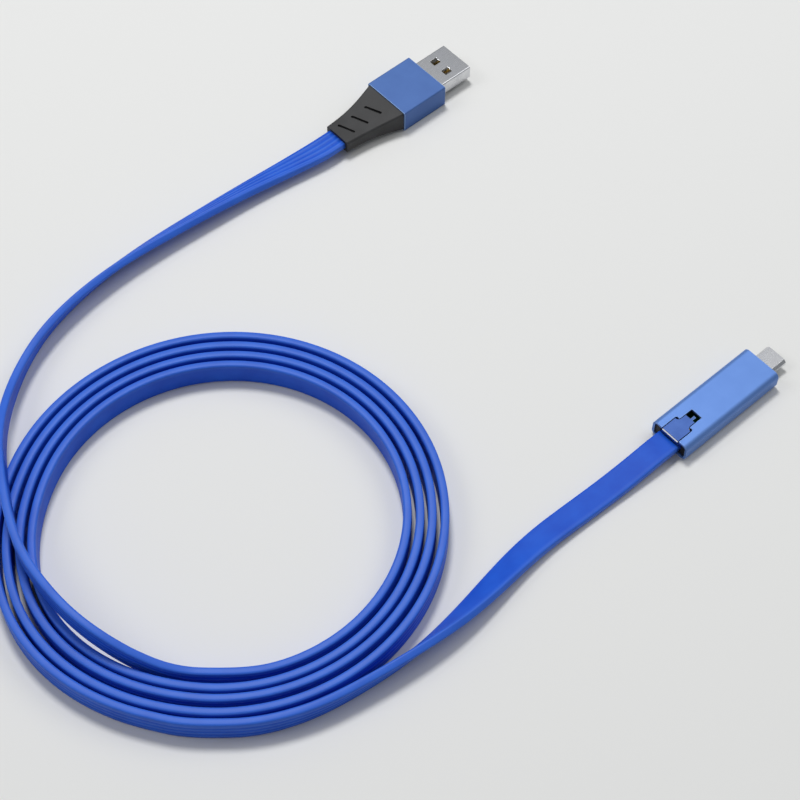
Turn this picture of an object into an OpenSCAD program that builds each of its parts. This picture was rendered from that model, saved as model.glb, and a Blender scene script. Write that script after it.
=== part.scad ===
// Charging cable: a flat cord with a type-A plug at one end and a repairable connector at the other.
// The origin is at the middle of the connector's flat base, and +X points out of its plug.

/* [Cord] */
// Width of the flat cord
cord_w = 7.2; // [6:0.1:9]
// Thickness of the flat cord
cord_t = 2.2; // [1.8:0.1:2.6]
// Radius of each copper core
core_r = 0.4; // [0.3:0.05:0.6]
// Distance from core to core
core_pitch = 1.65; // [1.3:0.05:2]

/* [Coil] */
// Radius of the innermost turn, to the middle of the cord
coil_r = 44.6; // [35:0.1:60]
// Space between one turn and the next
coil_space = 0.95; // [0.8:0.05:2]
// Number of turns
coil_turns = 4; // [2:1:6]
// How far the turns bulge where the lead crosses over them
coil_bulge = 1.7; // [0:0.1:3]

/* [Connector] */
// Length of the housing
housing_l = 35.2; // [32:0.1:46]
// Width of the housing
housing_w = 12.2; // [11:0.1:16]
// Height of the housing
housing_h = 5.8; // [5.6:0.1:8]
// Radius of the housing's long edges
housing_r = 1.6; // [0.8:0.1:2.4]
// Wall of the housing
housing_wall = 0.7; // [0.5:0.05:0.9]

/* [Lever] */
// Width of the lever's plate
lever_w = 5.7; // [4.5:0.1:7]
// Length of the lever's plate, from its lip to its shoulders
lever_body = 4.6; // [4.2:0.1:6]
// Width of the lever's neck
neck_w = 3.3; // [2.6:0.1:4]
// Distance from the shoulders to the pin
neck_l = 2.1; // [1.9:0.1:3]
// Radius of the lever's pin
pin_r = 0.35; // [0.3:0.05:0.4]
// How far the presser lifts when the lever is open
presser_lift = 0.7; // [0.4:0.1:0.7]

/* [Micro plug] */
// Width of the plug's shell at its base
micro_w = 6.85; // [6:0.05:8]
// Height of the shell
micro_h = 1.8; // [1.7:0.05:2.2]
// How far the shell stands out of the housing
micro_reach = 6.2; // [5.5:0.1:8]

/* [Type-A plug] */
// Length of the sleeve
sleeve_l = 16; // [13:0.1:20]
// Width of the sleeve
sleeve_w = 16.4; // [14.5:0.1:20]
// Height of the sleeve
sleeve_h = 7.4; // [6.6:0.1:9]
// Wall of the sleeve
sleeve_wall = 0.8; // [0.5:0.05:1]
// Radius of the sleeve's long edges
sleeve_r = 0.5; // [0.3:0.1:1]
// Width of the shell
shell_w = 12; // [11:0.1:13]
// Height of the shell
shell_h = 4.5; // [4.2:0.1:5]
// How far the shell stands out of the sleeve
shell_reach = 12; // [10:0.1:14]
// Length of the strain relief
relief_l = 19; // [16:0.1:23]
// Number of slots across the strain relief
relief_slots = 3; // [1:1:3]

/* [Hidden] */
$fn = 48;

cord_blue = [0.14, 0.30, 0.80];
metal_blue = [0.38, 0.53, 0.84];
black_plastic = [0.13, 0.13, 0.14];
white_plastic = [0.90, 0.90, 0.88];
steel = [0.78, 0.79, 0.80];
gold = [0.85, 0.68, 0.30];
copper = [0.80, 0.48, 0.28];
board_green = [0.10, 0.36, 0.20];

fit_gap = 0.05;          // between pieces of one body that fit together
press_gap = 0.02;        // the same, where one is pressed into the other
slide_gap = 0.1;         // on each side of a piece that slides
cut = 0.01;              // how far a cut runs past the face it opens
cores = [for (k = [-1.5:1:1.5]) k * core_pitch];

// Where the type-A plug lies: the middle of its sleeve's rear end
a_at = [3.9, 136.4, 0];

// Coil
coil_at = [-119.5, 57.5];
coil_yaw = -41.5;        // the frame's turn against the direction that the angles here start from
coil_step = 15;          // from ring to ring, in degrees
coil_from = 270;         // where the innermost turn starts
coil_pitch = cord_t + coil_space;
side_stretch = 0.7;      // the coil is this much wider than it is deep, on each side
weave = 0.2;             // the turns stand nearer in pairs on the near side
bulge_at = 215;
bulge_reach = 50;

// Connector heights, from its base
mid_z = housing_h / 2;
cord_low = mid_z - cord_t / 2;
cord_top = mid_z + cord_t / 2;
roof_z = housing_h - housing_wall;
lever_t = housing_wall + 0.1;
lever_low = housing_h - lever_t;
strip_t = 0.3;
board_low = cord_low - fit_gap - 0.25;
board_t = 0.8;
board_top = board_low + board_t;

// Connector lengths, along X
rear_x = -housing_l / 2;
front_x = housing_l / 2;
shoulder_x = rear_x + lever_body;
pin_x = shoulder_x + neck_l;
pin_z = lever_low - 0.45;
knuckle_r = pin_r + 0.45;
pin_clear = 0.04;
neck_end = pin_x + 0.7;
slot_end = neck_end + 2.5;
fillet_r = 1.2;
lever_gap = 0.15;
cord_stop = pin_x - knuckle_r - 0.35;
board_x = slot_end - 1;
shell_back = front_x - 7;
shell_front = front_x + micro_reach;
board_end = shell_back - 1.2;
pocket_end = shell_back - 0.3;
nose_t = 1.2;
carrier_end = front_x - nose_t - fit_gap;
spike_x = rear_x + 3.2;
spike_t = 0.4;
spike_w = 0.5;

// Micro plug
micro_wall = 0.25;
micro_z = mid_z - micro_h / 2;
micro_in = micro_z + micro_wall;
micro_top_w = micro_w - 1.45;
micro_side = micro_h - 0.85;
strip_pitch = 0.65;
strip_w = 0.35;
micro_strips = [for (k = [-2:2]) k * strip_pitch];
micro_strip_z = micro_z + micro_h - micro_wall - 0.57;
micro_strip_t = 0.12;
catch_y = micro_w / 2 - 0.98;
catch_w = 0.8;
catch_t = 0.2;
catch_low = micro_in + fit_gap;
catch_root = shell_back + 2;
hook_x = shell_front - 1.7;

// Type-A plug, along its own X from the sleeve's rear end
a_mid = sleeve_h / 2;
shell_wall = 0.3;
shell_r = 0.5;
a_shell_back = sleeve_l - 6.75;
a_shell_front = sleeve_l + shell_reach;
relief_plug = 1.5;
a_cord_in = relief_plug + 0.7;
tail_back = a_shell_back - 2;
tongue_low = a_mid - shell_h / 2 + shell_wall;
tongue_top = tongue_low + 1.84;
a_strip_w = 1;
a_strip_t = 0.2;
a_strips = [-3.5, -1, 1, 3.5];
relief_step = 0.4;
relief_skin = 1;
relief_dip = 0.55;

// Route of the lead to the type-A plug, from the coil: x, y, height of the cord's middle, and roll,
// which is 0 where the cord stands on edge and 90 where it lies flat. The heights are for a cord 7.2 wide.
route_w = 7.2;
route_a = [[-159.4, 35.6, 5.8, 0], [-162.8, 42.5, 8.4, 0], [-164.8, 47.5, 10.4, 0],
  [-166.6, 54.4, 11.1, 0], [-167.2, 61.3, 11.3, 0], [-167, 67.3, 11.3, 0], [-166.7, 74, 11.3, 0],
  [-165.4, 81.8, 11.3, 0], [-161.4, 91.2, 11.3, 0], [-155.8, 102.2, 11.2, 0], [-151.5, 109.5, 9.5, 0],
  [-146.8, 116.3, 7, 2], [-142, 121.7, 5.3, 4], [-137.3, 126, 4.3, 7], [-131.9, 130, 3.8, 11],
  [-126, 133.5, 3.7, 15], [-120, 136.2, 3.7, 19], [-113.3, 138.3, 3.7, 23], [-101, 140.7, 3.6, 29],
  [-88.7, 141.7, 3.4, 36], [-74.8, 141.5, 3.1, 46], [-61.4, 140.7, 3, 51], [-46, 139.7, 2.7, 61],
  [-32.5, 138, 2.8, 74]];
// Route of the lead to the connector, from the coil
route_b = [[-145.5, 6, 3.6, 2], [-139, 3.1, 3.7, 5], [-132.3, 1.2, 3.7, 8], [-125.5, 0, 3.8, 10], [-118.7, -1.1, 3.8, 12],
  [-110.8, -2.1, 3.8, 17], [-100.8, -2.5, 3.7, 30], [-92, -2.1, 3.2, 47], [-81.8, -0.8, 2.6, 62],
  [-71.2, 0.8, 1.9, 76], [-61.8, 1.4, 1.6, 83], [-48.9, 0.8, 1.3, 88], [-36, 0.2, 1.6, 90]];

// ---- the cord ----

function unit(v) = v / norm(v);

// Outlines of the cord's section: along its width, then through its thickness
lead_outline = [[0.5, 0.18], [0.43, 0.5], [-0.43, 0.5], [-0.5, 0.18],
  [-0.5, -0.18], [-0.43, -0.5], [0.43, -0.5], [0.5, -0.18]];
coil_outline = [[0.5, 0], [0.4, 0.5], [-0.4, 0.5], [-0.5, 0], [-0.4, -0.5], [0.4, -0.5]];

// The heading at a point of a route: along its stretch at both ends, and between its two stretches inside
function heading(p, i) = unit(p[min(i + 1, len(p) - 1)] - p[max(i - 1, 0)]);

// The section's corners at one point, rolled about the heading
function ring(at, ahead, roll, outline) =
  let (left = unit(cross([0, 0, 1], ahead)), up = cross(ahead, left))
  let (wide = cos(roll) * up - sin(roll) * left, thick = cos(roll) * left + sin(roll) * up)
  [for (c = outline) at + c.x * cord_w * wide + c.y * cord_t * thick];

// A closed tube of triangles along a route of points, each with its roll
module tube(points, rolls, outline) {
  sides = len(outline);
  last = len(points) - 1;
  polyhedron(
    points = [for (i = [0:last]) each ring(points[i], heading(points, i), rolls[i], outline)],
    faces = concat(
      [for (k = [1:sides - 2]) [0, k + 1, k]],
      [for (i = [0:last - 1], k = [0:sides - 1]) let (a = i * sides + k, b = i * sides + (k + 1) % sides)
        each [[a, b, b + sides], [a, b + sides, a + sides]]],
      [for (k = [1:sides - 2]) [last * sides, last * sides + k, last * sides + k + 1]]));
}

// Radius of the coil where the cord has gone round t turns
function near(t) = coil_from + 360 * t;
function smooth(s) = s * s * (3 - 2 * s);
function bulge(t) = t < 0.5 ? 0
  : coil_bulge * smooth(max(0, 1 - abs((near(t) % 360) - bulge_at) / bulge_reach));
function coil_radius(t) = coil_r + coil_pitch * t + side_stretch * pow(cos(near(t)), 2)
  - weave * cos(180 * t) * pow((1 - sin(near(t))) / 2, 2) + bulge(t);
function coil_point(t, r) = let (a = near(t) + coil_yaw)
  [coil_at.x + r * cos(a), coil_at.y + r * sin(a), cord_w / 2];

// At each end the coil and its lead run straight for one width of the cord, on either side of a seam;
// the innermost turn starts a little inside its circle, and the outermost one leaves along a tangent
function seam_radius(t) = t > 0 ? coil_radius(t) : sqrt(pow(coil_radius(t), 2) - pow(cord_w, 2));
function seam(t) = coil_point(t, seam_radius(t));
function seam_run(t, way) = let (a = near(t) + coil_yaw)
  seam(t) + way * cord_w * [-sin(a), cos(a), 0];

coil_rings = [for (a = [coil_step:coil_step:360 * coil_turns - coil_step]) coil_point(a / 360, coil_radius(a / 360))];
coil_path = concat([seam(0), seam_run(0, 1)], coil_rings, [seam_run(coil_turns, -1), seam(coil_turns)]);

// Least distance between the coil's turns: each point against the stretches of the turns outside its own
function to_stretch(p, a, b) = let (s = max(0, min(1, (p - a) * (b - a) / ((b - a) * (b - a)))))
  norm(p - a - s * (b - a));
half_turn = 180 / coil_step;
coil_gap = min([for (i = [0:len(coil_path) - 1], j = [i + half_turn:1:len(coil_path) - 2])
  to_stretch(coil_path[i], coil_path[j], coil_path[j + 1])]) - cord_t;
echo(coil_gap_mm = coil_gap);

module cord_coil() {
  color(cord_blue) tube(coil_path, [for (p = coil_path) 0], coil_outline);
}

// A lead: straight off the coil's seam, along its route, and straight into its plug
module lead(start, route, finish) {
  points = concat(start, [for (p = route) [p.x, p.y, p.z * cord_w / route_w]], finish);
  rolls = concat([for (p = start) 0], [for (p = route) p[3]], [for (p = finish) 90]);
  color(cord_blue) tube(points, rolls, lead_outline);
}

module cord_lead_a() {
  lead([seam(0), seam_run(0, -1)], route_a, [a_at + [-relief_l - cord_w, 0, a_mid], a_at + [-relief_l, 0, a_mid]]);
}

module cord_lead_b() {
  lead([seam(coil_turns), seam_run(coil_turns, 1)], route_b, [[rear_x - cord_w, 0, mid_z], [rear_x, 0, mid_z]]);
}

// ---- shared shapes ----

// A box by its low and high corners
module block(low, high) {
  translate(low) cube(high - low);
}

// A bar along X with rounded long edges, from x0 to x1, its middle at height z
module bar(x0, x1, w, h, r, z) {
  block([x0, -w / 2 + r, z - h / 2], [x1, w / 2 - r, z + h / 2]);
  block([x0, -w / 2, z - h / 2 + r], [x1, w / 2, z + h / 2 - r]);
  for (y = [-w / 2 + r, w / 2 - r], rise = [-h / 2 + r, h / 2 - r])
    translate([x0, y, z + rise]) rotate([0, 90, 0]) cylinder(h = x1 - x0, r = r);
}

// A length of flat cord with round edges
module flat_cord(x0, x1, z) {
  block([x0, -cord_w / 2 + cord_t / 2, z - cord_t / 2], [x1, cord_w / 2 - cord_t / 2, z + cord_t / 2]);
  for (y = [-1, 1] * (cord_w - cord_t) / 2)
    translate([x0, y, z]) rotate([0, 90, 0]) cylinder(h = x1 - x0, r = cord_t / 2);
}

// A round rod from one point to another
module rod(from, to, r) {
  run = to - from;
  translate(from) rotate([0, acos(run.z / norm(run)), atan2(run.y, run.x)]) cylinder(h = norm(run), r = r);
}

// An outline drawn across Y and Z, carried along X
module along_x(x0, x1) {
  translate([x0, 0, 0]) rotate([90, 0, 90]) linear_extrude(x1 - x0) children();
}

// An outline drawn across X and Z, carried along Y
module along_y(y0, y1) {
  translate([0, y1, 0]) rotate([90, 0, 0]) linear_extrude(y1 - y0) children();
}

// ---- type-A plug ----

module place_a() {
  translate(a_at) children();
}

module a_sleeve() {
  color(metal_blue) place_a() difference() {
    bar(0, sleeve_l, sleeve_w, sleeve_h, sleeve_r, a_mid);
    bar(-cut, sleeve_l + cut, sleeve_w - 2 * sleeve_wall, sleeve_h - 2 * sleeve_wall, 0.4, a_mid);
  }
}

// Half the relief's width or height along its length: s is 0 at the sleeve and 1 at the cord
function relief_half(s, wide, narrow) = wide / 2 + (narrow - wide) / 2 * s - relief_dip * sin(180 * s);

module relief_outline(wide, narrow) {
  polygon(concat(
    [for (s = [0:0.125:1]) [-relief_l * s, relief_half(s, wide, narrow)]],
    [for (s = [1:-0.125:0]) [-relief_l * s, -relief_half(s, wide, narrow)]]));
}

slot_long = 5.8;
slot_deep = 0.7;
slot_r = 0.5;
slot_tilt = 20;
slot_pitch = relief_l * 0.27;

// A round-ended slot across the relief, cut down from the height at which it is placed
module relief_slot(i) {
  x = -(i + 0.95) * slot_pitch - 0.35;
  s = -x / relief_l;
  half = relief_half(s, sleeve_h - 2 * relief_step, cord_t + 2 * relief_skin);
  for (side = [-1, 1])
    translate([x, 0, a_mid + side * half]) rotate([0, 0, slot_tilt]) {
      for (y = [-1, 1] * (slot_long / 2 - slot_r)) translate([0, y, -slot_deep]) cylinder(h = 2 * slot_deep, r = slot_r);
      block([-slot_r, -slot_long / 2 + slot_r, -slot_deep], [slot_r, slot_long / 2 - slot_r, slot_deep]);
    }
}

module strain_relief() {
  color(black_plastic) place_a() difference() {
    union() {
      intersection() {
        linear_extrude(sleeve_h)
          relief_outline(sleeve_w - 2 * relief_step, cord_w + 2 * relief_skin);
        along_y(-sleeve_w, sleeve_w) translate([0, a_mid])
          relief_outline(sleeve_h - 2 * relief_step, cord_t + 2 * relief_skin);
      }
      bar(0, relief_plug, sleeve_w - 2 * sleeve_wall - 2 * fit_gap, sleeve_h - 2 * sleeve_wall - 2 * fit_gap, 0.4, a_mid);
    }
    flat_cord(-relief_l - cut, relief_plug + cut, a_mid);
    for (i = [0:relief_slots - 1]) relief_slot(i);
  }
}

module a_cord_end() {
  color(cord_blue) place_a() difference() {
    flat_cord(-relief_l, a_cord_in, a_mid);
    for (y = cores) rod([-relief_l - cut, y, a_mid], [a_cord_in + cut, y, a_mid], core_r + press_gap / 2);
  }
}

module a_wires() {
  tail_z = tongue_top + a_strip_t / 4 + core_r;
  bend = core_r + 0.2;    // from the cord's end, and from the strips', to a wire's bends
  color(copper) place_a() for (i = [0:3]) {
    start = [a_cord_in + bend, cores[i], a_mid];
    finish = [tail_back - bend, a_strips[i], tail_z];
    rod([-relief_l, cores[i], a_mid], start, core_r);
    rod(start, finish, core_r);
    rod(finish, [a_shell_back - 0.3, a_strips[i], tail_z], core_r);
    for (at = [start, finish]) translate(at) sphere(r = 1.05 * core_r);
  }
}

module a_mould() {
  w = sleeve_w - 2 * sleeve_wall - 2 * fit_gap;
  h = sleeve_h - 2 * sleeve_wall - 2 * fit_gap;
  color(black_plastic) place_a() difference() {
    bar(relief_plug, sleeve_l - 0.2, w, h, 0.4, a_mid);
    block([relief_plug - cut, -5, a_mid - 1.7], [a_shell_back + cut, 5, a_mid + 1.7]);
    bar(a_shell_back, sleeve_l, shell_w + 2 * press_gap, shell_h + 2 * press_gap, shell_r + press_gap, a_mid);
  }
}

window_l = 2.5;
window_w = 2.2;

module a_shell() {
  color(steel) place_a() difference() {
    bar(a_shell_back, a_shell_front, shell_w, shell_h, shell_r, a_mid);
    bar(a_shell_back - cut, a_shell_front + cut, shell_w - 2 * shell_wall, shell_h - 2 * shell_wall,
      shell_r - shell_wall + 0.05, a_mid);
    for (y = [-1, 1] * shell_w * 0.21)
      block([a_shell_front - 7.6, y - window_w / 2, -1], [a_shell_front - 7.6 + window_l, y + window_w / 2, sleeve_h + 1]);
  }
}

module a_strip(y, grow) {
  z = tongue_top + a_strip_t / 4;
  block([tail_back - grow, y - a_strip_w / 2 - grow, z - a_strip_t - grow],
    [a_shell_front - 1.6 + grow, y + a_strip_w / 2 + grow, z + (grow > 0 ? 1 : 0)]);
}

module a_contacts() {
  color(gold) place_a() for (y = a_strips) a_strip(y, 0);
}

module a_tongue() {
  color(white_plastic) place_a() difference() {
    block([a_shell_back + 0.3, -shell_w / 2 + shell_wall + 0.3, tongue_low],
      [a_shell_front - 0.5, shell_w / 2 - shell_wall - 0.3, tongue_top]);
    for (y = a_strips) a_strip(y, press_gap);
  }
}

// ---- repairable connector ----

// The lever's bottle-shaped outline, grown all round; its neck runs on to neck_x, and its shoulders
// lie back from their place
module lever_outline(grow, neck_x, back) {
  hw = lever_w / 2 + grow;
  nw = neck_w / 2 + grow;
  sx = shoulder_x + grow - back;
  f = fillet_r - grow;
  translate([rear_x - 1, -hw]) square([sx - rear_x + 1, 2 * hw]);
  translate([sx - 0.5, -nw]) square([neck_x - sx + 0.5, 2 * nw]);
  for (side = [0, 1]) mirror([0, side]) difference() {
    translate([sx - 0.2, nw - 0.2]) square([f + 0.2, f + 0.2]);
    translate([sx + f, nw + f]) circle(r = f);
    translate([sx, hw]) square(f);
  }
}

spot_r = 0.55;           // of the round cuts beside the lever's shoulders

module housing() {
  color(metal_blue) difference() {
    bar(rear_x, front_x, housing_w, housing_h, housing_r, mid_z);
    bar(rear_x - cut, front_x + cut, housing_w - 2 * housing_wall, housing_h - 2 * housing_wall,
      housing_r - housing_wall, mid_z);
    translate([0, 0, mid_z]) linear_extrude(housing_h) {
      lever_outline(lever_gap, slot_end, 0);
      for (side = [-1, 1]) translate([shoulder_x + 0.25, side * (lever_w / 2 - 0.45)]) circle(r = spot_r);
    }
  }
}

lip_l = 0.5;
lip_out = 0.25;
lip_low = 1.25;
lever_skin = 0.25;       // the plate's top layer; under it the shoulders lie back, to pass the housing as it turns
shoulder_back = 0.4;

module lever() {
  color(metal_blue) difference() {
    union() {
      intersection() {
        union() {
          translate([0, 0, lever_low]) linear_extrude(lever_t) lever_outline(0, neck_end, shoulder_back);
          translate([0, 0, housing_h - lever_skin]) linear_extrude(lever_skin) lever_outline(0, neck_end, 0);
        }
        block([rear_x, -lever_w, 0], [neck_end, lever_w, housing_h]);
      }
      translate([pin_x, -neck_w / 2, pin_z]) rotate([-90, 0, 0]) cylinder(h = neck_w, r = knuckle_r);
      along_y(-lever_w / 2, lever_w / 2) polygon([
        [rear_x + lip_l, lever_low], [rear_x + lip_l, housing_h], [rear_x + 0.2, housing_h],
        [rear_x - lip_out, housing_h - 0.45], [rear_x - lip_out, housing_h - lip_low],
        [rear_x + lip_l, housing_h - lip_low]]);
    }
    translate([pin_x, -neck_w, pin_z]) rotate([-90, 0, 0]) cylinder(h = 2 * neck_w, r = pin_r + pin_clear);
  }
}

carrier_w = housing_w - 2 * housing_wall - 2 * fit_gap;
carrier_h = housing_h - 2 * housing_wall - 2 * fit_gap;

pin_l = neck_w + 3.2;

module lever_pin() {
  color(steel) translate([pin_x, -pin_l / 2, pin_z]) rotate([-90, 0, 0]) cylinder(h = pin_l, r = pin_r);
}

presser_low = cord_top + 0.03;
presser_back = rear_x + 1.2;
presser_front = shoulder_x + 0.1;
presser_flange = 0.32;
tab_x = (presser_back + presser_front) / 2;
tab_l = 1.2;
tab_out = 0.6;
presser_w = cord_w;

// The presser's flange, with the two tabs that guide it, grown for the pocket it slides in
module presser_plan(grow) {
  translate([presser_back - grow, -presser_w / 2 - grow])
    square([presser_front - presser_back + 2 * grow, presser_w + 2 * grow]);
  translate([tab_x - tab_l / 2 - grow, -presser_w / 2 - tab_out - grow])
    square([tab_l + 2 * grow, presser_w + 2 * tab_out + 2 * grow]);
}

module presser() {
  color(black_plastic) {
    translate([0, 0, presser_low]) linear_extrude(presser_flange) presser_plan(0);
    block([presser_back, -lever_w / 2 + 0.1, presser_low], [presser_front, lever_w / 2 - 0.1, lever_low - 0.03]);
  }
}

module cord_space() {
  block([rear_x - 1, -cord_w / 2 - slide_gap, cord_low - fit_gap], [cord_stop + slide_gap, cord_w / 2 + slide_gap, housing_h]);
}

// The outline of the micro plug's shell across Y and Z, grown all round
module micro_outline(grow) {
  b = micro_w / 2 + grow;
  t = micro_top_w / 2 + 0.6 * grow;
  polygon([[-b, -grow], [b, -grow], [b, micro_side + 0.35 * grow], [t, micro_h + grow],
    [-t, micro_h + grow], [-b, micro_side + 0.35 * grow]]);
}

module carrier() {
  color(black_plastic) difference() {
    bar(rear_x + 0.4, carrier_end, carrier_w, carrier_h, housing_r - housing_wall - 0.02, mid_z);
    cord_space();
    translate([0, 0, presser_low - slide_gap]) linear_extrude(housing_h) presser_plan(slide_gap);
    block([cord_stop - 0.5, -neck_w / 2 - fit_gap, cord_low - fit_gap], [board_x + cut, neck_w / 2 + fit_gap, housing_h]);
    translate([pin_x, -carrier_w, pin_z]) rotate([-90, 0, 0]) cylinder(h = 2 * carrier_w, r = pin_r + press_gap / 2);
    block([board_x, -carrier_w / 2 + 0.9, board_low], [pocket_end, carrier_w / 2 - 0.9, housing_h]);
    for (y = cores) block([spike_x - 0.6, y - 0.5, board_low - strip_t - fit_gap], [board_x + 1.6, y + 0.5, cord_low]);
    translate([0, 0, micro_z]) along_x(pocket_end - cut, carrier_end + cut) micro_outline(press_gap);
  }
}

module nose_plate() {
  color(black_plastic) difference() {
    bar(front_x - nose_t, front_x - 0.1, carrier_w, carrier_h, housing_r - housing_wall - 0.02, mid_z);
    translate([0, 0, micro_z]) along_x(front_x - nose_t - cut, front_x + cut) micro_outline(press_gap);
  }
}

// One spike and its strip, grown to cut its place in the cord
module spike(y, grow) {
  w = spike_w / 2 + grow;
  block([spike_x - spike_t / 2, y - 0.4, board_low - strip_t], [board_x + 1.4, y + 0.4, board_low]);
  translate([0, y, 0]) along_x(spike_x - spike_t / 2 - grow, spike_x + spike_t / 2 + grow)
    polygon([[-w, board_low - strip_t / 2], [w, board_low - strip_t / 2], [w, mid_z - 0.1], [0, mid_z + 0.25 + grow],
      [-w, mid_z - 0.1]]);
}

module piercing_contacts() {
  color(gold) for (y = cores) spike(y, 0);
}

module cord_end() {
  color(cord_blue) difference() {
    flat_cord(rear_x, cord_stop, mid_z);
    for (y = cores) {
      rod([rear_x - cut, y, mid_z], [cord_stop + cut, y, mid_z], core_r + press_gap / 2);
      spike(y, press_gap);
    }
  }
}

module cord_cores() {
  color(copper) difference() {
    for (y = cores) rod([rear_x, y, mid_z], [cord_stop, y, mid_z], core_r);
    for (y = cores) spike(y, press_gap);
  }
}

module circuit_board() {
  color(board_green)
    block([board_x + 0.1, -carrier_w / 2 + 1, board_low], [board_end, carrier_w / 2 - 1, board_top]);
}

// Each part on the board: where its middle is along and across the board, and its length, width and height
board_items = [[-4.2, 0, 3.2, 3.2, 0.95], [0.6, 1.9, 1.6, 0.9, 0.6], [0.6, -1.9, 1.6, 0.9, 0.6],
  [3.4, 2.2, 1, 0.6, 0.4], [3.4, 0.6, 1, 0.6, 0.4], [3.2, -2, 2, 1.3, 0.85]];

module board_parts() {
  color(black_plastic) for (p = board_items)
    translate([p[0] - p[2] / 2, p[1] - p[3] / 2, board_top]) cube([p[2], p[3], p[4]]);
}

// The two places in the shell's floor that the catches' hooks come through
module hook_windows() {
  for (side = [-1, 1])
    block([hook_x - 1.3, side * catch_y - catch_w / 2 - slide_gap, micro_z - 1],
      [hook_x + 1, side * catch_y + catch_w / 2 + slide_gap, micro_in + cut]);
}

module micro_shell() {
  color(steel) difference() {
    translate([0, 0, micro_z]) difference() {
      along_x(shell_back, shell_front) micro_outline(0);
      along_x(shell_back - cut, shell_front + cut) micro_outline(-micro_wall);
    }
    hook_windows();
  }
}

tongue_w = 3.8;
tongue_t = 0.5;

module micro_strip(y, grow) {
  w = strip_w / 2 + grow;
  riser = board_end + 0.2;
  block([board_end - 1.6, y - w, board_top], [riser, y + w, board_top + micro_strip_t]);
  block([riser - micro_strip_t, y - w, board_top], [riser, y + w, micro_strip_z + micro_strip_t]);
  block([riser - micro_strip_t, y - w, micro_strip_z - grow],
    [shell_front - 0.9 + grow, y + w, micro_strip_z + micro_strip_t + grow]);
}

module micro_contacts() {
  color(gold) for (y = micro_strips) micro_strip(y, 0);
}

module micro_tongue() {
  color(black_plastic) difference() {
    union() {
      translate([0, 0, micro_z]) along_x(shell_back + 0.1, catch_root - 0.4) micro_outline(-micro_wall - press_gap);
      block([shell_back + 0.1, -tongue_w / 2, micro_in + micro_h - 2 * micro_wall - tongue_t - 0.02],
        [shell_front - 0.6, tongue_w / 2, micro_in + micro_h - 2 * micro_wall - 0.02]);
    }
    for (y = micro_strips) micro_strip(y, press_gap);
  }
}

// A sprung catch: a long arm with a hook that stands out through the shell's floor
module catch(side) {
  color(steel) {
    block([catch_root - 0.2, side * catch_y - catch_w / 2, catch_low], [hook_x + 0.9, side * catch_y + catch_w / 2, catch_low + catch_t]);
    along_y(side * catch_y - catch_w / 2, side * catch_y + catch_w / 2) polygon([
      [hook_x - 1.1, catch_low + cut], [hook_x - 0.7, micro_z - 0.3], [hook_x - 0.3, micro_z - 0.3],
      [hook_x + 0.7, catch_low + cut]]);
  }
}

module catch_left() {
  catch(1);
}

module catch_right() {
  catch(-1);
}

cord_lead_a();
cord_coil();
cord_lead_b();
a_sleeve();
strain_relief();
a_mould();
a_shell();
a_tongue();
a_contacts();
a_wires();
a_cord_end();
housing();
carrier();
nose_plate();
lever();
lever_pin();
presser();
piercing_contacts();
circuit_board();
board_parts();
micro_shell();
micro_tongue();
micro_contacts();
catch_left();
catch_right();
cord_end();
cord_cores();
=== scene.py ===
import math

import bmesh
import bpy
import numpy as np
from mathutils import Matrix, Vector


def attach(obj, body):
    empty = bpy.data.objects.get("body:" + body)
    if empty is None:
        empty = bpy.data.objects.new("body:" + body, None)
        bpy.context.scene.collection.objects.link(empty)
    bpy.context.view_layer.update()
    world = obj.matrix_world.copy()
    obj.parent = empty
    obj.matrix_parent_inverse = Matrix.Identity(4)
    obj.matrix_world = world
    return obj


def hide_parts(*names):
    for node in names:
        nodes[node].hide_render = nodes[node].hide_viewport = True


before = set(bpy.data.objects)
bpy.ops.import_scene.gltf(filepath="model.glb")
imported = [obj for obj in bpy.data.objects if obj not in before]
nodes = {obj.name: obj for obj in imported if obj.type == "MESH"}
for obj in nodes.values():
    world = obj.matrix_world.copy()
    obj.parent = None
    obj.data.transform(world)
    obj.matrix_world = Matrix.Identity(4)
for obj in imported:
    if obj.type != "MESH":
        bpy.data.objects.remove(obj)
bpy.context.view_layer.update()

mm = 0.001
print("frame loaded:", len(nodes), "nodes")


def addObject(name, data):
    made = bpy.data.objects.new(name, data)
    bpy.context.scene.collection.objects.link(made)
    return made


# its place in metres, how far it looks down and round in degrees, and its lens and sensor in millimetres
camera = {"at": (-0.2482, -0.1546, 0.42), "down": 56, "round": -41.5, "lens": 85.5, "sensor": 36}


def makeCamera():
    data = bpy.data.cameras.new("camera")
    data.sensor_width = camera["sensor"]
    data.lens = camera["lens"]
    placed = addObject("camera", data)
    placed.location = camera["at"]
    placed.rotation_euler = (math.radians(90 - camera["down"]), 0, math.radians(camera["round"]))
    bpy.context.scene.camera = placed


makeCamera()


# A shader socket that sums can be written with
class Value:
    def __init__(self, shader, socket):
        self.shader = shader
        self.socket = socket

    def maths(self, operation, first, second):
        return self.shader.node("Math", {"operation": operation}, {0: first, 1: second})

    def __add__(self, other):
        return self.maths("ADD", self, other)

    def __radd__(self, other):
        return self.maths("ADD", other, self)

    def __sub__(self, other):
        return self.maths("SUBTRACT", self, other)

    def __rsub__(self, other):
        return self.maths("SUBTRACT", other, self)

    def __mul__(self, other):
        return self.maths("MULTIPLY", self, other)

    def __rmul__(self, other):
        return self.maths("MULTIPLY", other, self)


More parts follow.
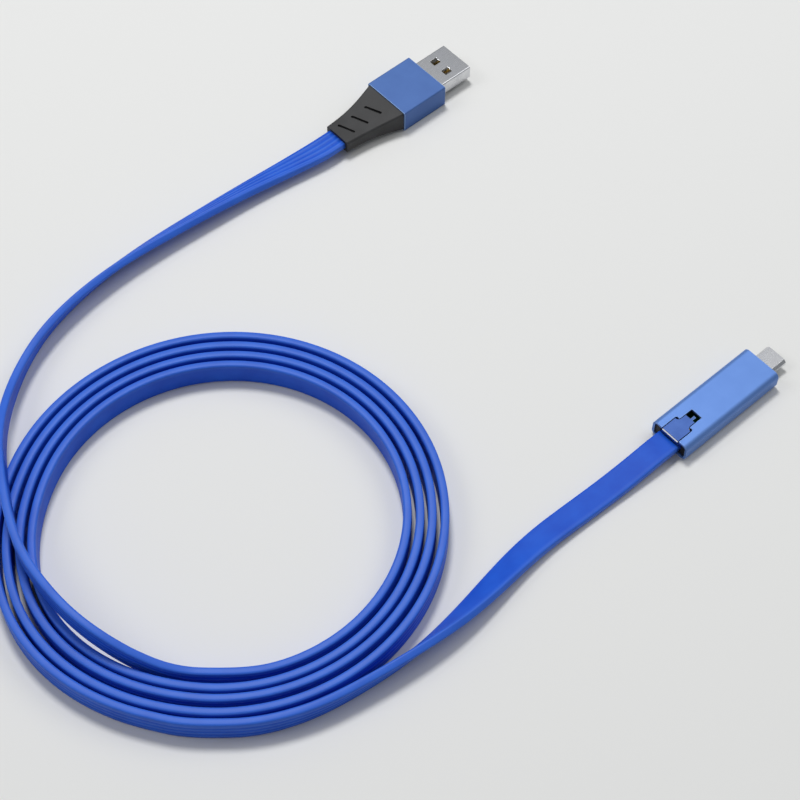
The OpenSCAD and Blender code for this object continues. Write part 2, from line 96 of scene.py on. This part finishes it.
# A material on the standard shader; what is the same all over it is given by socket name
class Shader:
    def __init__(self, name, **uniform):
        self.material = bpy.data.materials.new(name)
        self.material.use_nodes = True
        self.tree = self.material.node_tree
        self.surface = self.tree.nodes["Principled BSDF"]
        for socket, value in uniform.items():
            self.set(socket.replace("_", " "), value)

    def put(self, socket, value):
        if isinstance(value, Value):
            self.tree.links.new(value.socket, socket)
        elif socket.type == "RGBA":
            socket.default_value = (*value, 1)
        else:
            socket.default_value = value

    def set(self, name, value):
        self.put(self.surface.inputs[name], value)

    # any node: its type, its settings, its sockets by name or number, and the output that is wanted
    def node(self, kind, settings=None, sockets=None, out=0):
        made = self.tree.nodes.new("ShaderNode" + kind)
        for name, value in (settings or {}).items():
            if name == "stops":
                for element, (place, shade) in zip(made.color_ramp.elements, value):
                    element.position = place
                    element.color = (shade, shade, shade, 1)
            else:
                setattr(made, name, value)
        for name, value in (sockets or {}).items():
            self.put(made.inputs[name], value)
        return Value(self, made.outputs[out])

    # noise in blotches about size millimetres long, drawn out by stretch
    def noise(self, size, detail, stretch=(1, 1, 1), where=None):
        where = where or self.node("TexCoord", out="Object")
        scaled = self.node("Mapping", {}, {"Vector": where, "Scale": [1 / (size * mm * s) for s in stretch]})
        return self.node("TexNoise", {}, {"Vector": scaled, "Scale": 1.0, "Detail": detail})

    # from 0 to 1 as factor goes from low to high
    def ramp(self, factor, low, high):
        return self.node("ValToRGB", {"stops": ((low, 0.0), (high, 1.0))}, {"Fac": factor})

    def blend(self, factor, first, second):
        return self.node("Mix", {"data_type": "RGBA"}, {0: factor, 6: first, 7: second}, out=2)

    def field(self, name):
        return self.node("Attribute", {"attribute_name": name}, out="Fac")

    def bump(self, height, depth, under=None):
        sockets = {"Height": height, "Distance": depth * mm}
        if under is not None:
            sockets["Normal"] = under
        return self.node("Bump", {}, sockets)


# From the first of a pair to the second, as share goes from 0 to 1
def between(pair, share):
    return pair[0] + share * (pair[1] - pair[0])


# A colour by its values on a screen, 0 to 255
def tone(*values):
    parts = [v / 255 for v in values]
    return tuple(p / 12.92 if p <= 0.04045 else ((p + 0.055) / 1.055) ** 2.4 for p in parts)


studio = {
    "floor": tone(232, 232, 230), "floorRough": 0.8, "floorSize": 3.0,
    "world": (0.93, 0.96, 1.0), "worldStrength": 0.26,
    "middle": (-0.06, 0.06, 0.0),       # where the lamps point
    # each lamp's place, size and power
    "lamps": {"key": ((0.19, 0.53, 1.3), 0.36, 10.5), "fill": ((0.9, -0.1, 1.1), 0.9, 3.6),
              "side": ((-0.7, 0.6, 0.9), 0.6, 2.0)},
}


def makeStudio():
    world = bpy.data.worlds.new("studio")
    bpy.context.scene.world = world
    world.use_nodes = True
    back = world.node_tree.nodes["Background"]
    back.inputs["Color"].default_value = (*studio["world"], 1)
    back.inputs["Strength"].default_value = studio["worldStrength"]
    half = studio["floorSize"] / 2
    mesh = bpy.data.meshes.new("floor")
    corners = [(-half, -half, 0), (half, -half, 0), (half, half, 0), (-half, half, 0)]
    mesh.from_pydata(corners, [], [(0, 1, 2, 3)])
    paper = Shader("paper", Base_Color=studio["floor"], Roughness=studio["floorRough"])
    mesh.materials.append(paper.material)
    addObject("floor", mesh)
    for name, (place, size, power) in studio["lamps"].items():
        data = bpy.data.lights.new(name, "AREA")
        data.shape = "DISK"
        data.size = size
        data.energy = power
        lamp = addObject(name, data)
        lamp.location = place
        lamp.rotation_euler = (Vector(studio["middle"]) - Vector(place)).to_track_quat("-Z", "Y").to_euler()
    bpy.context.scene.view_settings.view_transform = "Standard"


makeStudio()
print("studio made")

# noises are given as size in millimetres, detail and stretch
rubber = {
    "dark": tone(21, 79, 198), "light": tone(28, 90, 209), "cloud": (7, 4), "clouded": (0.36, 0.64),
    "rough": (0.46, 0.58), "gloss": 0.2,
    # fine lines that the die drew along the cord: their depth, and their share in the clouds
    "lines": (0.5, 3, (140, 1, 1)), "lineDeep": 0.006, "lineShare": 0.15,
    "grain": (0.14, 2), "grainDeep": 0.006,
    # a painted highlight along one edge, which is also smoother there, between two shares of half the width
    "lightened": tone(96, 144, 232), "lightenedShare": 0.24, "polish": 0.1, "highlightFrom": 0.6, "highlightTo": 0.97,
    "crest": 0.3,           # and a painted highlight along the ridges
}


def cordRubber():
    shader = Shader("cordRubber", Specular_IOR_Level=rubber["gloss"])
    across = shader.field("across")
    flow = shader.node("CombineXYZ", {}, {"X": shader.field("along") * mm, "Y": across * mm})
    lines = shader.noise(*rubber["lines"], where=flow)
    cloud = shader.noise(*rubber["cloud"])
    grain = shader.noise(*rubber["grain"])
    mottle = cloud * (1 - rubber["lineShare"]) + lines * rubber["lineShare"]
    body = shader.blend(shader.ramp(mottle, *rubber["clouded"]), rubber["dark"], rubber["light"])
    # a painted highlight along one edge and along the ridges' crests; that edge is also smoother
    lightened = shader.ramp(across * (2 / cord["width"]), rubber["highlightFrom"], rubber["highlightTo"])
    amount = lightened * rubber["lightenedShare"] + shader.field("crest") * rubber["crest"]
    shader.set("Base Color", shader.blend(amount, body, rubber["lightened"]))
    shader.set("Roughness", between(rubber["rough"], lines) - lightened * rubber["polish"])
    shader.set("Normal", shader.bump(grain, rubber["grainDeep"], shader.bump(lines, rubber["lineDeep"])))
    return shader.material


cord = {
    "width": 7.2, "thick": 2.2,
    "step": 1.5,            # from ring to ring
    # the coil: its middle, the first turn's radius, and the step outwards with each turn
    "middle": (-119.5, 57.5), "yaw": -41.5, "from": 270, "turns": 4, "radius": 44.6, "out": 3.15,
    "perTurn": 120, "clear": 5,         # its points in each turn, and the first of them after a seam
    # how its turns depart from a circle; the bulge starts after half a turn
    "stretch": 0.7, "weave": 0.2, "bulge": 1.7, "bulgeAt": 215, "bulgeReach": 50, "bulgeFrom": 0.5,
    # each lead from the coil to its plug: x, y, height and roll
    "leadA": [(-159.4, 35.6, 5.8, 0), (-162.8, 42.5, 8.4, 0), (-164.8, 47.5, 10.4, 0),
              (-166.6, 54.4, 11.1, 0), (-167.2, 61.3, 11.3, 0), (-167, 67.3, 11.3, 0), (-166.7, 74, 11.3, 0),
              (-165.4, 81.8, 11.3, 0), (-161.4, 91.2, 11.3, 0), (-155.8, 102.2, 11.2, 0),
              (-151.5, 109.5, 9.5, 0), (-146.8, 116.3, 7, 2), (-142, 121.7, 5.3, 4), (-137.3, 126, 4.3, 7),
              (-131.9, 130, 3.8, 11), (-126, 133.5, 3.7, 15), (-120, 136.2, 3.7, 19),
              (-113.3, 138.3, 3.7, 23), (-101, 140.7, 3.6, 29), (-88.7, 141.7, 3.4, 36),
              (-74.8, 141.5, 3.1, 46), (-61.4, 140.7, 3, 51), (-46, 139.7, 2.7, 61), (-32.5, 138, 2.8, 74)],
    "plugA": (-15.1, 136.4, 3.7),
    "leadB": [(-145.5, 6, 3.6, 2), (-139, 3.1, 3.7, 5), (-132.3, 1.2, 3.7, 8), (-125.5, 0, 3.8, 10),
              (-118.7, -1.1, 3.8, 12), (-110.8, -2.1, 3.8, 17), (-100.8, -2.5, 3.7, 30), (-92, -2.1, 3.2, 47),
              (-81.8, -0.8, 2.6, 62), (-71.2, 0.8, 1.9, 76), (-61.8, 1.4, 1.6, 83), (-48.9, 0.8, 1.3, 88),
              (-36, 0.2, 1.6, 90)],
    "plugB": (-17.6, 0, 2.9),
}


def coilRadius(turn):
    angle = math.radians(cord["from"] + 360 * turn)
    lobe = max(0.0, 1 - abs(math.degrees(angle) % 360 - cord["bulgeAt"]) / cord["bulgeReach"])
    bulge = cord["bulge"] * lobe * lobe * (3 - 2 * lobe) if turn >= cord["bulgeFrom"] else 0
    return (cord["radius"] + cord["out"] * turn + cord["stretch"] * math.cos(angle) ** 2
            - cord["weave"] * math.cos(math.pi * turn) * ((1 - math.sin(angle)) / 2) ** 2 + bulge)


def coilPoint(turn, radius, ahead=0):
    angle = math.radians(cord["from"] + 360 * turn + cord["yaw"])
    outX, outY = math.cos(angle), math.sin(angle)
    x, y = cord["middle"]
    return (x + radius * outX - ahead * outY, y + radius * outY + ahead * outX, cord["width"] / 2, 0)


# The route from plug to plug: its points, each with its roll, and where on it the coil starts and ends
def cordRoute():
    w, turns, perTurn = cord["width"], cord["turns"], cord["perTurn"]
    inner = math.sqrt(coilRadius(0) ** 2 - w ** 2)
    outer = coilRadius(turns)
    ax, ay, az = cord["plugA"]
    bx, by, bz = cord["plugB"]
    route = [(ax, ay, az, -90), (ax - w, ay, az, -90)]
    route += [(x, y, z, -roll) for x, y, z, roll in reversed(cord["leadA"])]
    route += [coilPoint(0, inner, -w), coilPoint(0, inner), coilPoint(0, inner, w)]
    start = len(route) - 2
    places = range(cord["clear"], perTurn * turns - cord["clear"] + 1)
    route += [coilPoint(k / perTurn, coilRadius(k / perTurn)) for k in places]
    route += [coilPoint(turns, outer, -w), coilPoint(turns, outer), coilPoint(turns, outer, w)]
    end = len(route) - 2
    route += cord["leadB"]
    route += [(bx - w, by, bz, 90), (bx, by, bz, 90)]
    return np.array(route, float), start, end


# How far along the route each of its points is
def lengths(points):
    return np.concatenate([[0], np.cumsum(np.linalg.norm(np.diff(points[:, :3], axis=0), axis=1))])


smoothing = {
    "step": 0.5,            # between the points that are smoothed
    "lead": 6.0,            # how far a lead's corners are spread
    "seam": 3.5, "before": 12, "into": 14,      # and near the coil's ends, on the lead's side and the coil's
    "window": 12,           # points to each side over which one spread runs into the next
    "end": 2.5,             # near a plug, the distance to it is this many times the spread
    "least": 0.3,           # a smaller spread is left out
    "reach": 3,             # how many spreads away the points still count
}


# The route with its corners smoothed, at even steps; the coil's own curve is left as it is
def smoothRoute():
    route, start, end = cordRoute()
    along = lengths(route)
    step, before, into, window = (smoothing[key] for key in ("step", "before", "into", "window"))
    fine = np.linspace(0, along[-1], int(along[-1] / step) + 1)
    points = np.stack([np.interp(fine, along, route[:, k]) for k in range(4)], 1)
    spread = np.full(len(fine), smoothing["lead"])
    spread[(fine > along[start] - before) & (fine < along[end] + before)] = smoothing["seam"]
    spread[(fine > along[start] + into) & (fine < along[end] - into)] = 0
    width = 2 * window + 1
    spread = np.convolve(np.pad(spread, window, mode="edge"), np.ones(width) / width, mode="valid")
    spread = np.minimum(spread, np.minimum(fine, along[-1] - fine) / smoothing["end"])
    eased = points.copy()
    for i in np.nonzero(spread > smoothing["least"])[0]:
        reach = min(int(spread[i] * smoothing["reach"] / step), i, len(fine) - 1 - i)
        near = np.arange(i - reach, i + reach + 1)
        weight = np.exp(-0.5 * ((fine[near] - fine[i]) / spread[i]) ** 2)
        eased[i] = (points[near] * weight[:, None]).sum(0) / weight.sum()
    along = lengths(eased)
    even = np.linspace(0, along[-1], int(round(along[-1] / cord["step"])) + 1)
    return np.stack([np.interp(even, along, eased[:, k]) for k in range(4)], 1), along[-1]


section = {
    "ridge": 0.16,          # how far the ridges stand on the ribbed face
    "pitch": 1.65,          # from ridge to ridge, as the cores inside
    "corner": 0.6, "bend": (0, 22, 45, 68),     # each corner's radius, and its points in degrees
    "over": 45, "under": 9,             # points on the ribbed face and on the plain one
    "plain": 0.3, "fade": 0.8,          # no furrow is this near to an edge, and they fade out over this
    "uncrested": 1,         # nearer to an edge than this, no ridge counts as a crest
}


# The section as points across and through the cord, from one edge over the ribbed face and back under,
# and how near each point is to a ridge's crest
def cordSection():
    w, t, r = cord["width"] / 2, cord["thick"] / 2, section["corner"]
    across = np.linspace(w - r, r - w, section["over"])
    dip = section["ridge"] * (0.5 - 0.5 * np.cos(2 * math.pi * (across / section["pitch"] - 0.5)))
    height = t - dip * np.clip((w - np.abs(across) - section["plain"]) / section["fade"], 0, 1)
    crest = np.clip(1 - dip / section["ridge"], 0, 1) ** 2 * (np.abs(across) < w - section["uncrested"])
    bend = np.radians(section["bend"])
    edge = np.stack([w - r + r * np.cos(bend), t - r + r * np.sin(bend)], 1)
    over = np.stack([across, height], 1)
    under = np.stack([np.linspace(r - w, w - r, section["under"]), np.full(section["under"], -t)], 1)
    outline = np.concatenate([edge, over, edge[::-1] * (-1, 1), edge * (-1, -1), under, edge[::-1] * (1, -1)])
    return outline, np.pad(crest, (len(edge), len(outline) - len(crest) - len(edge)))


# The faces of a closed shape through rings with count points each: its sides, and then its two ends
def ringFaces(rings, count):
    faces = []
    for i in range(rings - 1):
        for k in range(count):
            after = (k + 1) % count
            faces.append((i * count + k, (i + 1) * count + k, (i + 1) * count + after, i * count + after))
    last = (rings - 1) * count
    return faces + [tuple(range(count)), tuple(range(last + count - 1, last - 1, -1))]


def makeCord():
    route, length = smoothRoute()
    centre = route[:, :3]
    heading = np.gradient(centre, axis=0)
    heading /= np.linalg.norm(heading, axis=1)[:, None]
    left = np.cross([0, 0, 1], heading)
    left /= np.linalg.norm(left, axis=1)[:, None]
    up = np.cross(heading, left)
    roll = np.radians(route[:, 3])[:, None]
    wide = np.cos(roll) * up - np.sin(roll) * left
    ribbed = -(np.cos(roll) * left + np.sin(roll) * up)
    outline, crest = cordSection()
    count, rings = len(outline), len(centre)
    points = centre[:, None] + outline[None, :, :1] * wide[:, None] + outline[None, :, 1:] * ribbed[:, None]
    mesh = bpy.data.meshes.new("cord")
    mesh.from_pydata((points.reshape(-1, 3) * mm).tolist(), [], ringFaces(rings, count))
    mesh.shade_smooth()
    # for its material: millimetres along and across the cord, and how near a ridge's crest is
    fields = {"along": np.repeat(np.linspace(0, length, rings), count),
              "across": np.tile(outline[:, 0], rings), "crest": np.tile(crest, rings)}
    for name, values in fields.items():
        mesh.attributes.new(name, "FLOAT", "POINT").data.foreach_set("value", values.astype(np.float32))
    mesh.materials.append(cordRubber())
    piece = addObject("cord", mesh)
    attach(piece, "cable")
    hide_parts("cord_lead_a", "cord_coil", "cord_lead_b")
    print("cord made:", round(length), "mm long,", rings, "rings")


makeCord()

anodising = {
    "cloud": (5, 3), "clouded": (0.35, 0.65), "grain": (0.09, 2), "grainDeep": 0.006, "grainShare": 0.2,
    "edgeMatt": 0.8,        # how much less metallic the eased edges are, so that their painted highlight shows
}
# each one's two dyed shades, the colour of the painted highlight on its eased edges, its roughness, its
# metallic and the stretch of its grain
metals = {
    "blueMetal": {"dark": tone(93, 132, 200), "light": tone(97, 136, 204), "edge": tone(176, 210, 250),
                  "rough": (0.42, 0.54), "metallic": 0.5, "stretch": (1, 1, 1)},
    "sleeveMetal": {"dark": tone(70, 105, 168), "light": tone(74, 110, 173), "edge": tone(160, 196, 244),
                    "rough": (0.5, 0.62), "metallic": 0.4, "stretch": (1, 1, 1)},
    "leverMetal": {"dark": tone(50, 84, 154), "light": tone(62, 97, 168), "edge": tone(250, 252, 255),
                   "rough": (0.36, 0.48), "metallic": 0.5, "stretch": (6, 1, 1)},
}


# Blasted and dyed aluminium: a fine grain, and a painted highlight on the eased edges
def anodised(name):
    look = metals[name]
    shader = Shader(name)
    grain = shader.noise(*anodising["grain"], look["stretch"])
    cloud = shader.noise(*anodising["cloud"])
    edge = shader.field("edge")
    mottle = cloud * (1 - anodising["grainShare"]) + grain * anodising["grainShare"]
    dyed = shader.blend(shader.ramp(mottle, *anodising["clouded"]), look["dark"], look["light"])
    shader.set("Base Color", shader.blend(edge, dyed, look["edge"]))
    shader.set("Roughness", between(look["rough"], grain))
    shader.set("Metallic", look["metallic"] * (1 - edge * anodising["edgeMatt"]))
    shader.set("Normal", shader.bump(grain, anodising["grainDeep"]))
    return shader.material


moulding = {
    "cloud": (5, 3), "clouded": (0.35, 0.65), "spark": (0.16, 3), "sparkShare": 0.3, "gloss": 0.4,
    "lightened": tone(220, 218, 212), "lightenedShare": 0.12,
}
# each one's darker and lighter shade, its roughness, and its grain's depth
plastics = {
    "blackPlastic": (tone(40, 40, 41), tone(57, 57, 58), (0.5, 0.66), 0.02),
    # the carrier's black plastic, painted darker for the shade it lies in under the housing
    "carrierBlack": (tone(15, 15, 17), tone(22, 22, 24), (0.5, 0.66), 0.02),
    "whitePlastic": (tone(222, 221, 214), tone(236, 235, 230), (0.38, 0.5), 0.008),
    "boardGreen": (tone(10, 82, 44), tone(16, 100, 56), (0.22, 0.34), 0.004),
    "boardPart": (tone(30, 30, 32), tone(40, 40, 42), (0.42, 0.5), 0.01),
    "cordCut": (tone(30, 70, 192), tone(44, 88, 208), (0.4, 0.5), 0.006),
}


# Moulded plastic with a spark-eroded grain; its eased edges a little lighter
def moulded(name):
    dark, light, rough, deep = plastics[name]
    shader = Shader(name, Specular_IOR_Level=moulding["gloss"])
    spark = shader.noise(*moulding["spark"])
    cloud = shader.noise(*moulding["cloud"])
    mottle = cloud * (1 - moulding["sparkShare"]) + spark * moulding["sparkShare"]
    body = shader.blend(shader.ramp(mottle, *moulding["clouded"]), dark, light)
    shader.set("Base Color", shader.blend(shader.field("edge") * moulding["lightenedShare"], body, moulding["lightened"]))
    shader.set("Roughness", between(rough, cloud))
    shader.set("Normal", shader.bump(spark, deep))
    return shader.material


plating = {"cloud": (4, 4), "clouded": (0.35, 0.75), "lines": (0.08, 2), "lineDeep": 0.0015, "lineShare": 0.5}
# each one's bright and dull shade, its roughness, and how its fine lines are drawn out
platings = {
    "plugSteel": (tone(214, 215, 218), tone(196, 198, 203), (0.2, 0.34), (10, 1, 1)),
    "contactGold": (tone(236, 200, 118), tone(212, 168, 84), (0.16, 0.3), (1, 1, 1)),
    "copper": (tone(214, 138, 96), tone(184, 106, 70), (0.28, 0.4), (12, 1, 1)),
}


# Bright metal with fine lines, duller in clouds
def plated(name):
    bright, dull, rough, stretch = platings[name]
    shader = Shader(name, Metallic=1.0)
    lines = shader.noise(*plating["lines"], stretch)
    cloud = shader.noise(*plating["cloud"])
    shader.set("Base Color", shader.blend(shader.ramp(cloud, *plating["clouded"]), bright, dull))
    amount = lines * plating["lineShare"] + cloud * (1 - plating["lineShare"])
    shader.set("Roughness", between(rough, amount))
    shader.set("Normal", shader.bump(lines, plating["lineDeep"]))
    return shader.material


finishes = {name: anodised(name) for name in metals}
finishes |= {name: moulded(name) for name in plastics}
finishes |= {name: plated(name) for name in platings}
print("finishes made:", len(finishes))

easing = {
    "join": 0.0005,         # points nearer than this become one
    "flat": 0.4,            # faces that turn less than this become one
    "sharp": 28,            # edges that turn more than this are eased
    "steps": 2,             # faces across each of them
    "crisp": 40,            # and after that, edges that turn more than this stay sharp in the shading
}


# A shape with its edges eased by width millimetres; the new faces are marked as edge, or else the ones
# that bright picks by their middle and the way they face. On dyed metal the mark carries a painted highlight
def easedMesh(name, shape, width, bright=None):
    bm = bmesh.new()
    bm.from_mesh(shape)
    bmesh.ops.remove_doubles(bm, verts=bm.verts, dist=easing["join"] * mm)
    bmesh.ops.dissolve_limit(bm, angle_limit=math.radians(easing["flat"]), verts=bm.verts, edges=bm.edges)
    mark = bm.faces.layers.float.new("edge")
    sharp = [e for e in bm.edges if e.calc_face_angle(0) > math.radians(easing["sharp"])]
    made = bmesh.ops.bevel(bm, geom=sharp, offset=width * mm, segments=easing["steps"], profile=0.5,
                           affect="EDGES", clamp_overlap=True)
    marked = made["faces"]
    if bright:
        marked = [face for face in bm.faces if bright(face.calc_center_median() / mm, face.normal)]
    for face in marked:
        face[mark] = 1.0
    mesh = bpy.data.meshes.new(name)
    bm.to_mesh(mesh)
    bm.free()
    mesh.shade_smooth()
    mesh.set_sharp_from_angle(angle=math.radians(easing["crisp"]))
    return mesh


# A closed shape through rings of points in millimetres, all with the same number of points
def loft(name, rings):
    mesh = bpy.data.meshes.new(name)
    points = [tuple(c * mm for c in point) for ring in rings for point in ring]
    mesh.from_pydata(points, [], ringFaces(len(rings), len(rings[0])))
    bm = bmesh.new()
    bm.from_mesh(mesh)
    bmesh.ops.recalc_face_normals(bm, faces=bm.faces)
    bm.to_mesh(mesh)
    bm.free()
    return mesh


# A ring across Y and Z round a middle: a rectangle with round corners
def roundRing(x, y, z, wide, high, radius, steps=6):
    ring = []
    for corner, (sideY, sideZ) in enumerate(((1, 1), (-1, 1), (-1, -1), (1, -1))):
        for k in range(steps + 1):
            angle = math.radians(90 * (corner + k / steps))
            ring.append((x, y + sideY * (wide / 2 - radius) + radius * math.cos(angle),
                         z + sideZ * (high / 2 - radius) + radius * math.sin(angle)))
    return ring


# A shape with others cut out of it
def cutMesh(name, shape, *cutters):
    body = addObject(name, shape)
    tools = [addObject(name, cutter) for cutter in cutters]
    for tool in tools:
        cut = body.modifiers.new("cut", "BOOLEAN")
        cut.object = tool
        cut.solver = "EXACT"
    bpy.context.view_layer.update()
    mesh = bpy.data.meshes.new_from_object(body.evaluated_get(bpy.context.evaluated_depsgraph_get()))
    for each in [body, *tools]:
        bpy.data.objects.remove(each)
    return mesh


def addPiece(name, mesh, body, slot, finish, *stands):
    mesh.materials.append(finishes[finish])
    piece = addObject(name, mesh)
    piece.modifiers.new("normals", "WEIGHTED_NORMAL").keep_sharp = True
    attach(piece, body)
    if stands:
        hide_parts(*stands)


# each piece that keeps its CAD shape: the body it rides on, its slot, its finish, and its edges' width
pieces = {
    "housing": ("cable", "blue_metal", "blueMetal", 0.16),
    "a_sleeve": ("cable", "blue_metal", "sleeveMetal", 0.2),
    "a_shell": ("cable", "plug_steel", "plugSteel", 0.07),
    "a_tongue": ("cable", "white_plastic", "whitePlastic", 0.08),
    "a_contacts": ("cable", "contact_metal", "contactGold", 0.04),
    "a_mould": ("cable", "black_plastic", "blackPlastic", 0.08),
    # the carrier's finish is black plastic with painted shade
    "carrier": ("cable", "black_plastic", "carrierBlack", 0.05),
    "nose_plate": ("cable", "black_plastic", "blackPlastic", 0.06),
    "lever_pin": ("cable", "plug_steel", "plugSteel", 0.05),
    "presser": ("presser", "black_plastic", "blackPlastic", 0.05),
    "piercing_contacts": ("cable", "contact_metal", "contactGold", 0.02),
    "circuit_board": ("cable", "board", "boardGreen", 0.03),
    "board_parts": ("cable", "board_part", "boardPart", 0.04),
    "micro_shell": ("cable", "plug_steel", "plugSteel", 0.04),
    "micro_tongue": ("cable", "black_plastic", "blackPlastic", 0.03),
    "micro_contacts": ("cable", "contact_metal", "contactGold", 0.015),
    "catch_left": ("catch_left", "plug_steel", "plugSteel", 0.03),
    "catch_right": ("catch_right", "plug_steel", "plugSteel", 0.03),
}

for name, (body, slot, finish, width) in pieces.items():
    addPiece(name + "_look", easedMesh(name, nodes[name].data, width), body, slot, finish, name)
print("pieces with their CAD shape made:", len(pieces))

lever = {
    "edge": 0.12,
    "narrow": 0.96,         # so that the gap beside it shows as a line
    # its rear chamfer, where a fingernail lifts it, carries a white painted highlight: what lies behind this
    # x and faces back and up by more than these
    "lipEnd": -17.2, "lipBack": 0.15, "lipUp": 0.2,
    # the stop at the end of its neck: from x to x, its middle across and in height, its width and height
    "stop": (-10.3, -8.45), "stopMiddle": (-0.2, 5.03), "stopSize": (0.8, 0.3),
    "stopCorner": 0.1, "stopSteps": 3, "stopEdge": 0.06,
}


def onLip(middle, way):
    return middle.x < lever["lipEnd"] and way.x < -lever["lipBack"] and way.z > lever["lipUp"]


def makeLever():
    mesh = easedMesh("lever", nodes["lever"].data, lever["edge"], onLip)
    for point in mesh.vertices:
        point.co.y *= lever["narrow"]
    addPiece("lever_look", mesh, "lever", "lever_metal", "leverMetal", "lever")
    rings = [roundRing(x, *lever["stopMiddle"], *lever["stopSize"], lever["stopCorner"], lever["stopSteps"])
             for x in lever["stop"]]
    stop = easedMesh("lever_stop", loft("stop", rings), lever["stopEdge"])
    addPiece("lever_stop", stop, "lever", "blue_metal", "sleeveMetal")


makeLever()
print("lever made")

relief = {
    "at": (3.9, 136.4, 3.7), "long": 19.0, "rings": 32,     # from the sleeve's end it runs back to the cord
    # at the sleeve and at the cord, and how far the sides pull in between
    "wide": (15.6, 9.2), "high": (6.6, 4.2), "corner": (0.55, 0.85), "dip": 0.55,
    "plugLong": 1.5, "plug": (14.7, 5.7, 0.4),      # inside the sleeve: its width, height and corner
    "hole": (7.24, 2.24, 1.11),         # for the cord: its width, height and corner
    "slots": (-5.22, -10.35, -15.48), "slotLong": 5.8, "slotRadius": 0.45, "slotDeep": 0.75,
    "slotTilt": 20, "slotPoints": 24,
    "past": 2.0,            # how far a cutter goes on outside the shape
    "edge": 0.16,
}


# Its width or height at a share of the way back to the cord
def reliefSize(ends, back):
    return between(ends, back) - 2 * relief["dip"] * math.sin(math.pi * back)


# A slot's outline, with round ends, at height z
def slotRing(x, y, z):
    r, count = relief["slotRadius"], relief["slotPoints"]
    half = relief["slotLong"] / 2 - r
    tilt = math.radians(relief["slotTilt"])
    ring = []
    for k in range(count):
        angle = 2 * math.pi * (k + 0.5) / count
        across, along = r * math.cos(angle), r * math.sin(angle) + (half if k < count / 2 else -half)
        ring.append((x + across * math.cos(tilt) - along * math.sin(tilt),
                     y + across * math.sin(tilt) + along * math.cos(tilt), z))
    return ring


def makeRelief():
    x, y, z = relief["at"]
    past = relief["past"]
    rings = []
    for k in range(relief["rings"] + 1):
        back = 1 - k / relief["rings"]
        wide, high = reliefSize(relief["wide"], back), reliefSize(relief["high"], back)
        rings.append(roundRing(x - relief["long"] * back, y, z, wide, high, between(relief["corner"], back)))
    front = x + relief["plugLong"]
    rings += [roundRing(at, y, z, *relief["plug"]) for at in (x, front)]
    ends = (x - relief["long"] - past, front + past)
    cutters = [loft("hole", [roundRing(at, y, z, *relief["hole"]) for at in ends])]
    for at in relief["slots"]:
        half = reliefSize(relief["high"], -at / relief["long"]) / 2
        for side in (-1, 1):
            floor = z + side * (half - relief["slotDeep"])
            heights = (floor, floor + side * past)
            cutters.append(loft("slot", [slotRing(x + at, y, height) for height in heights]))
    shape = cutMesh("relief", loft("relief", rings), *cutters)
    mesh = easedMesh("relief", shape, relief["edge"])
    addPiece("strain_relief_look", mesh, "cable", "black_plastic", "blackPlastic", "strain_relief")


makeRelief()
print("strain relief made")

# CAD nodes that show as they are, with a finish each
plainNodes = {"a_wires": "copper", "cord_cores": "copper", "a_cord_end": "cordCut", "cord_end": "cordCut"}

for name, finish in plainNodes.items():
    nodes[name].data.materials.clear()
    nodes[name].data.materials.append(finishes[finish])
print("plain nodes finished:", len(plainNodes))
